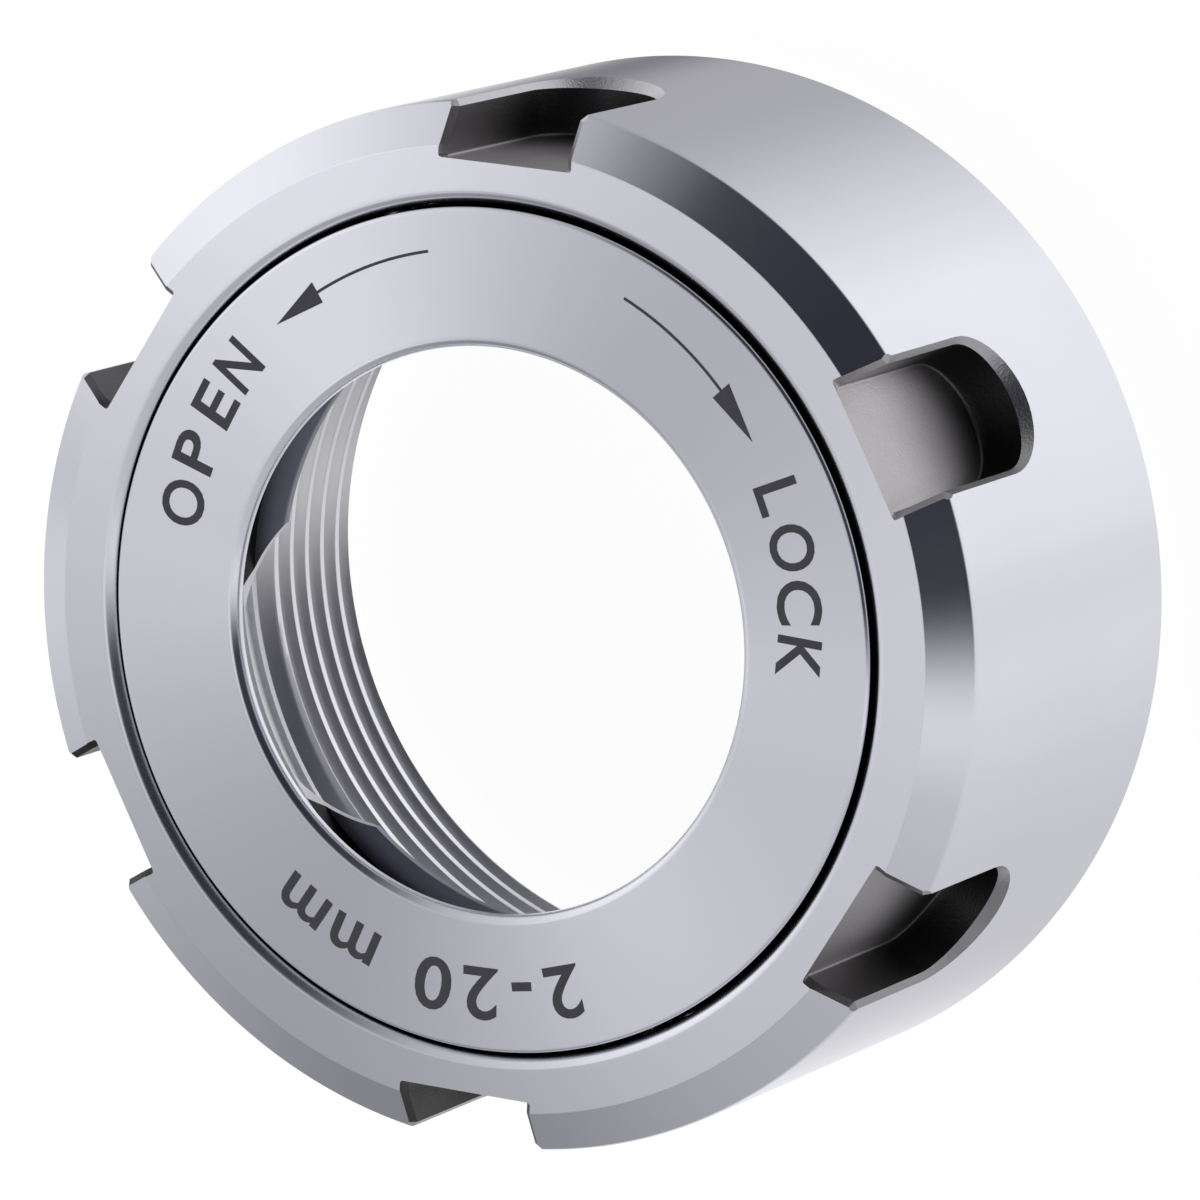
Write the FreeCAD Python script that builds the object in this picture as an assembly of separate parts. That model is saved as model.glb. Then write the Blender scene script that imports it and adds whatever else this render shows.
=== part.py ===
import FreeCAD, Part
import math
import os

from FreeCAD import Vector

# Collet nut of the ball-bearing kind. Its front ring floats in the nut on a full
# circle of balls, so that the ring can stand still on the collet while the nut turns.
# All sizes are in millimetres. The origin is the centre of the rear face, where the
# spindle thread enters. +Z is the nut's axis, towards the front ring.

# Nut body, outside
nut_diameter = 50.0
nut_height = 22.5
front_chamfer_across = 2.0
front_chamfer_down = 1.2
front_edge_break = 0.25
rear_chamfer = 0.9

# Nut body, inside: the spindle thread, drawn as a plain bore at its major diameter
thread_major_diameter = 40.0
thread_lead_in = 0.8
thread_length = 9.1
rim_wall = 4.7
ring_bore_edge = 0.4

# Spanner slots in the front edge, cut by an end mill that points at the axis
slot_count = 6
slot_width = 6.4
slot_length = 11.4
slot_depth = 2.8
slot_floor_bevel = 0.35
slot_edge_break = 0.32

# Front ring: 30 degree seat for the collet's nose, then the lip that pulls the collet out.
# Its bores are set by the walls that they leave: a 27 mm throat, a 33.9 mm seat mouth
# and a 31 mm lip.
ring_clearance = 0.2
ring_face_width = 6.6
ring_throat_rounding = 0.5
ring_length = 8.6
ring_outer_edge_break = 0.2
seat_half_angle = 30.0
seat_mouth_wall = 3.15
lip_depth_from_front = 7.7
lip_reach = 1.45
lip_land = 0.4
lip_back_chamfer = 0.6

# Relief in the lip that lets the collet's rim tip in: a leaning round pocket
relief_direction = 171.9
relief_diameter = 17.1
relief_lean = 20.2
relief_depth_from_front = 6.35
relief_centre_from_lip = 8.96

# Ball race between the ring and the body: a groove in each, with two 45 degree flanks,
# and as many balls as the circle holds
ball_diameter = 2.5
ball_clearance = 0.05
ball_gap_least = 0.03
race_depth_from_front = 4.5
race_flank_angle = 45.0

# Small round forms are drawn with flat bands, to keep the model light
throat_bands = 4
ball_sides = 8
ball_bands = 5

# Plug of the hole through which the balls are loaded, on the land between two slots
plug_direction = 150.0
plug_clearance_over_ball = 0.35

# Worked out from the sizes above
nut_radius = nut_diameter / 2
thread_radius = thread_major_diameter / 2
ring_bore_radius = nut_radius - rim_wall
slot_floor_from_axis = nut_radius - slot_depth
ring_outer_radius = ring_bore_radius - ring_clearance
throat_radius = ring_outer_radius - ring_face_width
seat_mouth_radius = ring_outer_radius - seat_mouth_wall
lip_radius = seat_mouth_radius - lip_reach
relief_centre_at_front = lip_radius - relief_centre_from_lip
race_radius = ball_diameter / 2 + ball_clearance
race_pitch_radius = ring_bore_radius - ring_clearance / 2
race_height = nut_height - race_depth_from_front
ball_count = int(math.pi / math.asin((ball_diameter + ball_gap_least) / (2 * race_pitch_radius)))
plug_radius = ball_diameter / 2 + plug_clearance_over_ball

up = Vector(0, 0, 1)
origin = Vector(0, 0, 0)


def point_on(centre, radius, angle):
    """The (radius, height) point at an angle in degrees on a circle of the section."""
    turn = math.radians(angle)
    return (centre[0] + radius * math.cos(turn), centre[1] + radius * math.sin(turn))


def turned(points):
    """The solid of revolution about Z of a closed section of (radius, height) points."""
    corners = []
    for radius, height in points + [points[0]]:
        corners.append(Vector(radius, 0, height))
    return Part.Face(Part.makePolygon(corners)).revolve(origin, up, 360)


def race():
    """The channel that the balls run in, half of it in the ring and half in the body.

    Its flanks touch the balls, and its narrow bottoms stay as far off as the flanks.
    """
    flank = math.radians(race_flank_angle)
    half_bottom = race_radius * (1 - math.sin(flank)) / math.cos(flank)
    half_middle = half_bottom + race_radius * math.tan(flank)
    inner = race_pitch_radius - race_radius
    outer = race_pitch_radius + race_radius
    section = [
        (inner, race_height - half_bottom),
        (race_pitch_radius, race_height - half_middle),
        (outer, race_height - half_bottom),
        (outer, race_height + half_bottom),
        (race_pitch_radius, race_height + half_middle),
        (inner, race_height + half_bottom),
    ]
    return turned(section)


def slot_outline(width, bottom, top):
    """The U shape of a slot seen from outside, with its round end down, at x = 0."""
    half = width / 2
    centre_height = bottom + half
    low_left = Vector(0, -half, centre_height)
    low_right = Vector(0, half, centre_height)
    top_left = Vector(0, -half, top)
    top_right = Vector(0, half, top)
    round_end = Part.Arc(low_left, Vector(0, 0, bottom), low_right).toShape()
    sides = [
        Part.LineSegment(low_right, top_right).toShape(),
        Part.LineSegment(top_right, top_left).toShape(),
        Part.LineSegment(top_left, low_left).toShape(),
    ]
    return Part.Face(Part.Wire([round_end] + sides))


def slot_cutter():
    """One spanner slot as a solid, with the end mill's small corner bevel at its floor."""
    outline = slot_outline(slot_width, nut_height - slot_length, nut_height + slot_width)
    outline.translate(Vector(slot_floor_from_axis, 0, 0))
    cutter = outline.extrude(Vector(nut_radius, 0, 0))
    floor_edges = []
    for edge in cutter.Edges:
        middle = edge.valueAt((edge.FirstParameter + edge.LastParameter) / 2)
        on_floor = abs(middle.x - slot_floor_from_axis) < 1e-6
        if on_floor and middle.z < nut_height + slot_width / 2:
            floor_edges.append(edge)
    return cutter.makeChamfer(slot_floor_bevel, floor_edges)


def side_depth(radius):
    """How far along x the side wall of a slot meets a circle of this radius."""
    return math.sqrt(radius ** 2 - (slot_width / 2) ** 2)


def edge_break_along(start, end):
    """A widening cut that breaks both slot edges along a straight stretch of the outline.

    The stretch runs from start to end as (x, z) points on the side wall, upwards or towards
    the axis, so that the metal is on its left.
    """
    run = Vector(end[0] - start[0], 0, end[1] - start[1])
    length = run.Length
    along = run * (1 / length)
    inward = Vector(-along.z, 0, along.x)
    past = slot_edge_break
    base = Vector(start[0], 0, start[1]) - along * past
    deep = base + inward * slot_edge_break
    high = base - inward * past
    narrow = Vector(0, slot_width / 2, 0)
    wide = Vector(0, slot_width / 2 + slot_edge_break + past, 0)
    section = Part.makePolygon([deep - narrow, deep + narrow, high + wide, high - wide, deep - narrow])
    return Part.Face(section).extrude(along * (length + 2 * past))


def slot_edge_breaks():
    """The small chamfers round the mouth of one slot, as solids to cut away."""
    rim_x = side_depth(nut_radius)
    front_x = side_depth(nut_radius - front_chamfer_across)
    rim_z = nut_height - front_chamfer_down
    deep_x = rim_x - slot_edge_break
    high_x = nut_radius + slot_edge_break
    widening = 2 * (high_x - deep_x)
    bottom = nut_height - slot_length
    top = nut_height + slot_width
    narrow = slot_outline(slot_width, bottom, top)
    narrow.translate(Vector(deep_x, 0, 0))
    wide = slot_outline(slot_width + widening, bottom - widening / 2, top)
    wide.translate(Vector(high_x, 0, 0))
    on_outside = Part.makeLoft([narrow.OuterWire, wide.OuterWire], True, True)
    on_chamfer = edge_break_along((rim_x, rim_z), (front_x, nut_height))
    on_front = edge_break_along((front_x, nut_height), (slot_floor_from_axis, nut_height))
    half = slot_width / 2 - slot_floor_bevel / 2
    floor_x = slot_floor_from_axis
    corner = [
        Vector(floor_x - slot_edge_break, -half, nut_height),
        Vector(floor_x, -half, nut_height - slot_edge_break),
        Vector(floor_x + slot_edge_break, -half, nut_height),
        Vector(floor_x, -half, nut_height + slot_edge_break),
        Vector(floor_x - slot_edge_break, -half, nut_height),
    ]
    at_floor = Part.Face(Part.makePolygon(corner)).extrude(Vector(0, 2 * half, 0))
    return [on_outside, on_chamfer, on_front, at_floor]


def around(shape, index):
    """A copy of a shape turned to one of the slot places."""
    copy = shape.copy()
    copy.rotate(origin, up, index * 360.0 / slot_count)
    return copy


def outer_shell():
    """The turned nut body, before its slots, race and loading hole."""
    thread_top = thread_lead_in + thread_length
    slope = Vector(front_chamfer_across, 0, -front_chamfer_down).normalize()
    rim_height = nut_height - front_chamfer_down
    section = [
        (nut_radius, rim_height - front_edge_break),
        (nut_radius, rear_chamfer),
        (nut_radius - rear_chamfer, 0),
        (thread_radius + thread_lead_in, 0),
        (thread_radius, thread_lead_in),
        (thread_radius, thread_top),
        (ring_bore_radius, thread_top),
        (ring_bore_radius, nut_height - ring_bore_edge),
        (ring_bore_radius + ring_bore_edge, nut_height),
        (nut_radius - front_chamfer_across, nut_height),
        (nut_radius - slope.x * front_edge_break, rim_height - slope.z * front_edge_break),
    ]
    return turned(section)


def loading_hole():
    """The radial hole that the balls are fed through, from the race to the outside."""
    turn = math.radians(plug_direction)
    start = Vector(
        race_pitch_radius * math.cos(turn), race_pitch_radius * math.sin(turn), race_height
    )
    outward = Vector(math.cos(turn), math.sin(turn), 0)
    return Part.makeCylinder(plug_radius, nut_radius, start, outward)


def make_nut_body():
    """The nut body with its slots, its half of the race and the loading hole."""
    body = outer_shell()
    cutters = [slot_cutter()] + slot_edge_breaks()
    for index in range(slot_count):
        for cutter in cutters:
            body = body.cut(around(cutter, index))
    return body.cut(race()).cut(loading_hole())


def make_filler_plug():
    """The plug, flush with the outside, with its inner end shaped by the race."""
    jacket = Part.makeCylinder(nut_radius, nut_height)
    jacket = jacket.cut(Part.makeCylinder(ring_bore_radius, nut_height))
    return loading_hole().common(jacket).cut(race())


def relief_pocket():
    """The leaning round pocket that opens the lip on one side, as a solid."""
    lean = math.radians(relief_lean)
    down_axis = Vector(math.sin(lean), 0, -math.cos(lean))
    start = Vector(relief_centre_at_front, 0, nut_height)
    pocket = Part.makeCylinder(relief_diameter / 2, 2 * nut_height, start, down_axis)
    pocket.translate(down_axis * (-nut_height / 2))
    ceiling = nut_height - relief_depth_from_front
    block = Part.makeBox(2 * nut_diameter, nut_diameter, ceiling)
    block.translate(Vector(-nut_diameter, -nut_radius, 0))
    pocket = pocket.common(block)
    pocket.rotate(origin, up, relief_direction)
    return pocket


def make_pressure_ring():
    """The floating front ring: rounded throat, conical seat, extraction lip and half race."""
    front = nut_height
    rounding_centre = (throat_radius + ring_throat_rounding, front - ring_throat_rounding)
    seat_start = point_on(rounding_centre, ring_throat_rounding, 180 + seat_half_angle)
    seat_run = seat_mouth_radius - seat_start[0]
    seat_end_height = seat_start[1] - seat_run / math.tan(math.radians(seat_half_angle))
    lip_top = front - lip_depth_from_front
    ring_bottom = front - ring_length
    lip_edge_bottom = lip_top - lip_land
    back_chamfer = min(lip_back_chamfer, lip_edge_bottom - ring_bottom)
    section = [
        (seat_mouth_radius, seat_end_height),
        (seat_mouth_radius, lip_top),
        (lip_radius, lip_top),
        (lip_radius, lip_edge_bottom),
        (lip_radius + back_chamfer, ring_bottom),
        (ring_outer_radius - ring_outer_edge_break, ring_bottom),
        (ring_outer_radius, ring_bottom + ring_outer_edge_break),
        (ring_outer_radius, front - ring_outer_edge_break),
        (ring_outer_radius - ring_outer_edge_break, front),
    ]
    for band in range(throat_bands + 1):
        angle = 90 + (90 + seat_half_angle) * band / throat_bands
        section.append(point_on(rounding_centre, ring_throat_rounding, angle))
    return turned(section).cut(race()).cut(relief_pocket())


def make_ball(index):
    """One ball of the race, drawn with flat facets whose corners lie on the sphere."""
    turn = math.radians((index + 0.5) * 360.0 / ball_count)
    centre = Vector(
        race_pitch_radius * math.cos(turn), race_pitch_radius * math.sin(turn), race_height
    )
    radius = ball_diameter / 2

    def corner(side, band):
        round_angle = 2 * math.pi * side / ball_sides
        rise_angle = math.pi * band / ball_bands - math.pi / 2
        level = radius * math.cos(rise_angle)
        offset = Vector(
            level * math.cos(round_angle),
            level * math.sin(round_angle),
            radius * math.sin(rise_angle),
        )
        return centre + offset

    faces = []
    for band in range(ball_bands):
        for side in range(ball_sides):
            loop = [corner(side, band)]
            if band > 0:
                loop.append(corner(side + 1, band))
            loop.append(corner(side + 1, band + 1))
            if band < ball_bands - 1:
                loop.append(corner(side, band + 1))
            faces.append(Part.Face(Part.makePolygon(loop + [loop[0]])))
    return Part.Solid(Part.makeShell(faces))


def save(shape, node):
    """Write one node as its own STEP file and print what it holds."""
    shape.exportStep("parts/" + node + ".step")
    print(node, "solids", len(shape.Solids), "valid", shape.isValid(), "volume", round(shape.Volume, 2))


os.makedirs("parts", exist_ok=True)

save(make_nut_body(), "nut_body")
save(make_filler_plug(), "filler_plug")
save(make_pressure_ring(), "pressure_ring")
for index in range(ball_count):
    save(make_ball(index), "ball_%02d" % (index + 1))
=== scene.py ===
# %% [markdown]
# # A collet nut, from turned blanks to finished steel
# A collet nut is a lathe part. Two pieces of steel are turned: the nut itself, and the
# front ring that floats in it on a circle of balls. Then slots for the spanner are
# milled into the rim, a thread is cut inside, and words are marked on the ring.
# This lesson follows the same order. Every blank comes off one small lathe that is
# built of Geometry Nodes, and each cut is a boolean, as it is a cut in the workshop.
# The fixed frame gives the true size and place of each piece.

# %% Load the frame
import math
import bmesh
import bpy
from mathutils import Matrix, Vector


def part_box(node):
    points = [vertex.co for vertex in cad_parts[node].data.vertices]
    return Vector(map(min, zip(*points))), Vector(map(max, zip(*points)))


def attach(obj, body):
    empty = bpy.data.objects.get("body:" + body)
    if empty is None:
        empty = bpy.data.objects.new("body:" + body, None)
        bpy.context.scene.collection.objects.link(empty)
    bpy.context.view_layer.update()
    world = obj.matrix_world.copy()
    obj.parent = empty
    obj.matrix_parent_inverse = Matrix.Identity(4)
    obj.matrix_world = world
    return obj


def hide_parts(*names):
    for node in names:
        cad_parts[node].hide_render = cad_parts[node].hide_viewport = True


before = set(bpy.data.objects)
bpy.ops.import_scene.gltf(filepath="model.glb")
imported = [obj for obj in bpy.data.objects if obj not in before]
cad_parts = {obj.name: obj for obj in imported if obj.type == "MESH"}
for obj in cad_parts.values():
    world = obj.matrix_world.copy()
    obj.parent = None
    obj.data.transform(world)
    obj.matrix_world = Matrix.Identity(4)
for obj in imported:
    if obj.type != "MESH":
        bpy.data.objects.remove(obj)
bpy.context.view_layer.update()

# %% [markdown]
# ## Working in millimetres
# A workshop drawing is in millimetres, and the modeller's tools like numbers near one
# better than numbers near a thousandth. So each piece is made in millimetres and its
# finished mesh is scaled to metres once, at the end. The overall sizes are read from
# the frame, so that the drawing and the render can't drift apart.

# %% Read the overall sizes
MM = 0.001

nut_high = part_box("nut_body")[1]
ring_low, ring_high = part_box("pressure_ring")
ball_low, ball_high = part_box("ball_01")
nut_radius = nut_high[0] / MM
nut_height = nut_high[2] / MM
ring_radius = ring_high[0] / MM
ring_back = ring_low[2] / MM
ball_radius = (ball_high[2] - ball_low[2]) / MM / 2
race_height = (ball_high[2] + ball_low[2]) / MM / 2
ball_nodes = sorted(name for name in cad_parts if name.startswith("ball_"))
print("nut radius", round(nut_radius, 3), "height", round(nut_height, 3))
print("ring radius", round(ring_radius, 3), "back", round(ring_back, 3))
print("balls", len(ball_nodes), "radius", round(ball_radius, 3))

# %% [markdown]
# ## The camera
# The photograph looks down on the nut from 30 degrees off its axis, rolled over on its
# side, through a long lens. A long lens keeps the two ends of the nut nearly the same
# size, as product photographs do. The camera could be parented to an empty, but three
# angles and a distance say the same with less to keep in order.

# %% Place the camera
view_azimuth = -6.655
view_elevation = 60.35
view_roll = math.radians(107.974)
view_distance = 433.62 * MM
view_target = Vector((0.063, -0.211, 11.25)) * MM
lens_length = 271.17
nearest_seen, farthest_seen = 0.01, 10.0


def direction(azimuth, elevation):
    """The unit vector that points at an azimuth from +X and an elevation, in degrees."""
    turn, rise = math.radians(azimuth), math.radians(elevation)
    across = math.cos(rise)
    return Vector((math.cos(turn) * across, math.sin(turn) * across, math.sin(rise)))


back = direction(view_azimuth, view_elevation)
camera = bpy.data.objects.new("camera", bpy.data.cameras.new("camera"))
bpy.context.scene.collection.objects.link(camera)
bpy.context.scene.camera = camera
camera.data.lens = lens_length
camera.data.clip_start = nearest_seen
camera.data.clip_end = farthest_seen
level = back.to_track_quat("Z", "Y")
camera.rotation_mode = "QUATERNION"
camera.rotation_quaternion = level @ Matrix.Rotation(-view_roll, 3, "Z").to_quaternion()
camera.location = view_target + back * view_distance
print("camera at", [round(value, 4) for value in camera.location])

# %% [markdown]
# ## The studio
# Polished steel has hardly any colour of its own: it shows the room. So the room is
# most of the look. For each direction of the room there is one slope of steel that
# mirrors it to the camera: the slope that faces halfway between the two. The world is
# painted by that slope. Its bearing chooses a place round the nut, and its steepness
# chooses the flat faces, the chamfer or the outside wall. A short list of lights for
# each of the three says where it is bright and where a black card hangs. A black card
# is never quite black: it gives back a little of the room's blue, so that much blue is
# added everywhere. The camera itself sees plain white behind the nut.

# %% Helpers for node trees
def add(tree, kind, inputs=None, **settings):
    """Adds a node, sets its properties, and fills its inputs with values or with links."""
    made = tree.nodes.new(kind)
    for name, value in settings.items():
        setattr(made, name, value)
    for key, value in (inputs or {}).items():
        if isinstance(value, bpy.types.NodeSocket):
            tree.links.new(value, made.inputs[key])
        else:
            made.inputs[key].default_value = value
    return made


def math_node(tree, operation, first, second=0.0):
    """The result of one sum of two numbers or sockets."""
    return add(tree, "ShaderNodeMath", {0: first, 1: second}, operation=operation).outputs[0]


def map_range(tree, value, source=(0.0, 1.0), target=(0.0, 1.0), curve="LINEAR"):
    """A value carried over from one range (from, to) to another."""
    return add(tree, "ShaderNodeMapRange", {
        "Value": value, "From Min": source[0], "From Max": source[1],
        "To Min": target[0], "To Max": target[1]}, interpolation_type=curve).outputs["Result"]


world = bpy.data.worlds.new("studio")
bpy.context.scene.world = world
world.use_nodes = True
sky = world.node_tree
sky.nodes.clear()
print("world", world.name, "nodes", len(sky.nodes))

# %% List the lights as (bearing in degrees, brightness)
brightest = 1.25
card_blue = 0.014
face_lights = [
    (-180, 0.66), (-147, 0.52), (-118, 0.62), (-88, 1.00), (-52, 0.70), (-22, 0.88), (3, 0.64),
    (33, 0.53), (62, 0.64), (92, 1.04), (128, 0.72), (158, 0.86), (180, 0.66),
]
chamfer_lights = [
    (-180, 0.55), (-132, 0.29), (-92, 0.45), (-42, 0.66), (-31, 0.84), (-22, 0.15), (-13, 0.05),
    (28, 0.05), (38, 0.14), (50, 0.50), (78, 0.90), (98, 1.12), (120, 0.95), (138, 0.70),
    (150, 0.80), (180, 0.55),
]
wall_lights = [
    (-180, 0.70), (-110, 0.75), (-93, 1.00), (-73, 0.73), (-60, 0.69), (-42, 0.76), (-31, 0.87),
    (-20, 0.88), (-15, 0.98), (8, 1.06), (18, 1.00), (38, 0.58), (57, 0.44), (67, 0.26),
    (76, 0.80), (84, 0.96), (180, 0.70),
]
wall_to_chamfer = (0.40, 0.62)
chamfer_to_face = (0.93, 0.97)
print("studio lights", len(face_lights) + len(chamfer_lights) + len(wall_lights))


# %% Paint the world
def lights(bearing, stops):
    """Light by the bearing of the steel that mirrors it, from stops of (degrees, brightness)."""
    made = add(sky, "ShaderNodeValToRGB", {"Fac": bearing})
    ramp = made.color_ramp
    ramp.interpolation = "CARDINAL"
    while len(ramp.elements) > 1:
        ramp.elements.remove(ramp.elements[-1])
    for index, (azimuth, brightness) in enumerate(stops):
        place = (azimuth + 180) / 360
        stop = ramp.elements[0] if index == 0 else ramp.elements.new(place)
        stop.position = place
        stop.color = [brightness / brightest] * 3 + [1.0]
    return math_node(sky, "MULTIPLY", made.outputs["Color"], brightest)


def blend(share, first, second):
    """The first value where the share is 0 and the second where it is 1."""
    first_part = math_node(sky, "MULTIPLY", math_node(sky, "SUBTRACT", 1.0, share), first)
    return math_node(sky, "ADD", first_part, math_node(sky, "MULTIPLY", share, second))


looking = add(sky, "ShaderNodeTexCoord").outputs["Generated"]
summed = add(sky, "ShaderNodeVectorMath", {0: looking, 1: back}, operation="ADD")
halfway = add(sky, "ShaderNodeVectorMath", {0: summed.outputs[0]}, operation="NORMALIZE")
slope = add(sky, "ShaderNodeSeparateXYZ", {0: halfway.outputs[0]})
angle = math_node(sky, "ARCTAN2", slope.outputs["Y"], slope.outputs["X"])
bearing = math_node(sky, "ADD", math_node(sky, "DIVIDE", angle, 2 * math.pi), 0.5)
steepness = slope.outputs["Z"]
to_chamfer = map_range(sky, steepness, wall_to_chamfer, curve="SMOOTHSTEP")
to_face = map_range(sky, steepness, chamfer_to_face, curve="SMOOTHSTEP")
light = blend(to_chamfer, lights(bearing, wall_lights), lights(bearing, chamfer_lights))
light = blend(to_face, light, lights(bearing, face_lights))
bluish = math_node(sky, "ADD", light, card_blue)
colour = add(sky, "ShaderNodeCombineXYZ", {"X": light, "Y": light, "Z": bluish})
studio = add(sky, "ShaderNodeBackground", {"Color": colour.outputs[0], "Strength": 1.0})
white = add(sky, "ShaderNodeBackground", {"Color": (1.0, 1.0, 1.0, 1.0), "Strength": 1.0})
seen = add(sky, "ShaderNodeLightPath").outputs["Is Camera Ray"]
choice = add(sky, "ShaderNodeMixShader", {0: seen, 1: studio.outputs[0], 2: white.outputs[0]})
add(sky, "ShaderNodeOutputWorld", {"Surface": choice.outputs[0]})
print("world nodes", len(sky.nodes))

# %% [markdown]
# ## The floor
# The nut stands on a plain pale table. To the camera the table glows almost white and
# still takes a part of its tone from real light, so that the nut's soft shadow stays.
# Steel that mirrored the table would only show a white sheet cut off at the nut's foot,
# so the table is left out of reflections, and the studio's lower half shows there.

# %% Lay the floor
floor_reach = 3.0
table_tone = 0.9
table_glow = 1.16
glow_share = 0.80

floor_mesh = bpy.data.meshes.new("floor")
floor_corners = [(-1, -1, 0), (1, -1, 0), (1, 1, 0), (-1, 1, 0)]
floor_points = [Vector(corner) * floor_reach for corner in floor_corners]
floor_mesh.from_pydata(floor_points, [], [(0, 1, 2, 3)])
floor = bpy.data.objects.new("floor", floor_mesh)
bpy.context.scene.collection.objects.link(floor)
floor.visible_glossy = False

floor_finish = bpy.data.materials.new("pale_table")
floor_finish.use_nodes = True
table = floor_finish.node_tree
table.nodes.clear()
paint = add(table, "ShaderNodeBsdfDiffuse", {"Color": (table_tone, table_tone, table_tone, 1.0)})
glow = add(table, "ShaderNodeEmission", {"Color": (1.0, 1.0, 1.0, 1.0), "Strength": table_glow})
seen = add(table, "ShaderNodeLightPath").outputs["Is Camera Ray"]
share = math_node(table, "MULTIPLY", seen, glow_share)
mixed = add(table, "ShaderNodeMixShader", {0: share, 1: paint.outputs[0], 2: glow.outputs[0]})
add(table, "ShaderNodeOutputMaterial", {"Surface": mixed.outputs[0]})
floor_mesh.materials.append(floor_finish)
print("floor", floor_reach * 2, "m wide")

# %% [markdown]
# ## Steel
# Turned steel keeps the fine rings of the cutting tool. They run round the axis, so a
# pattern that depends only on the distance from the axis and on the height draws them
# on a flat face, a cone and a bore alike. The rings are too fine to see one by one.
# What shows is their effect: a highlight is smeared across them, which gives a turned
# face its bow-tie sheen. The shader's anisotropy does that, and a faint bump and a
# roughness that drifts a little keep the surface from looking like plastic.

# %% Helpers for the tone of steel
cloud_scale = 90.0
tint_drift = 0.03


def noise(tree, place, scale, detail=2.0):
    """A soft cloud of values about one half."""
    inputs = {"Vector": place, "Scale": scale, "Detail": detail}
    return add(tree, "ShaderNodeTexNoise", inputs).outputs[0]


def painted_side_light(tree, place, strength, bearing):
    """Painted light: a tone of 1 on the axis that rises, or falls as painted shade where negative,
    towards one side.
    """
    lit_side = direction(bearing, 0)
    side = add(tree, "ShaderNodeVectorMath", {0: place, 1: lit_side}, operation="DOT_PRODUCT")
    rise = math_node(tree, "MULTIPLY", side.outputs["Value"], strength / nut_radius / MM)
    return math_node(tree, "ADD", rise, 1.0)


def tone_with_painted_shade(tree, tone, measures, fades):
    """The tone after each fade of painted shade: (measure, its range in mm, the tones at the
    range's ends).
    """
    for measure, limits, tones in fades:
        source = [limit * MM for limit in limits]
        fade = map_range(tree, measures[measure], source, tones, "SMOOTHSTEP")
        tone = math_node(tree, "MULTIPLY", tone, fade)
    return tone


print("tone drifts by", tint_drift, "over clouds of", round(1000 / cloud_scale), "mm")

# %% A helper for the relief of steel
grain_scale = 9000.0


def relief(tree, place, along, ring_scale, ring_depth, grain_depth):
    """The bumped normal of cutting rings, drawn along one measure, and of a fine grain."""
    rings = add(tree, "ShaderNodeTexNoise", {"W": along, "Scale": ring_scale, "Detail": 3.0},
                noise_dimensions="1D").outputs[0]
    ring_relief = math_node(tree, "MULTIPLY", rings, ring_depth)
    grain_relief = math_node(tree, "MULTIPLY", noise(tree, place, grain_scale), grain_depth)
    height = math_node(tree, "ADD", ring_relief, grain_relief)
    bump = add(tree, "ShaderNodeBump", {"Height": height, "Distance": MM, "Strength": 1.0})
    return bump.outputs["Normal"]


print("grain every", round(1000 / grain_scale, 2), "mm")

# %% The steel recipe
gloss_drift = 0.08
across_the_rings = 0.25


def steel(name, color, roughness, smear=0.0, ring_scale=4000.0, ring_depth=0.0003,
          grain_depth=0.0, lean=(0.0, 0.0), fades=()):
    """A steel finish: colour, gloss, how far rings smear it, fine relief, and changes of tone,
    painted light and shade among them.

    The lean, a strength and a bearing in degrees, paints light on one side and shade on the other.
    The fades paint shade along "Height" or "Reach".
    """
    made = bpy.data.materials.new(name)
    made.use_nodes = True
    tree = made.node_tree
    shader = tree.nodes["Principled BSDF"]
    shader.inputs["Metallic"].default_value = 1.0
    shader.inputs["Anisotropic"].default_value = smear
    shader.inputs["Anisotropic Rotation"].default_value = across_the_rings

    place = add(tree, "ShaderNodeTexCoord").outputs["Object"]
    parts = add(tree, "ShaderNodeSeparateXYZ", {0: place})
    height = parts.outputs["Z"]
    flat = add(tree, "ShaderNodeCombineXYZ", {"X": parts.outputs["X"], "Y": parts.outputs["Y"]})
    length = add(tree, "ShaderNodeVectorMath", {0: flat.outputs[0]}, operation="LENGTH")
    reach = length.outputs["Value"]
    cloud = noise(tree, place, cloud_scale)

    tint = map_range(tree, cloud, target=(1 - tint_drift, 1 + tint_drift))
    tone = math_node(tree, "MULTIPLY", painted_side_light(tree, place, *lean), tint)
    tone = tone_with_painted_shade(tree, tone, {"Height": height, "Reach": reach}, fades)
    shade = add(tree, "ShaderNodeVectorMath", {0: color, 1: tone}, operation="MULTIPLY")
    gloss_range = (roughness * (1 - gloss_drift), roughness * (1 + gloss_drift))
    gloss = map_range(tree, cloud, target=gloss_range)
    along = math_node(tree, "ADD", reach, height)
    normal = relief(tree, place, along, ring_scale, ring_depth, grain_depth)
    tangent = add(tree, "ShaderNodeTangent", direction_type="RADIAL", axis="Z")

    tree.links.new(shade.outputs[0], shader.inputs["Base Color"])
    tree.links.new(gloss, shader.inputs["Roughness"])
    tree.links.new(normal, shader.inputs["Normal"])
    tree.links.new(tangent.outputs["Tangent"], shader.inputs["Tangent"])
    return made


print("gloss drifts by", gloss_drift)
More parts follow.
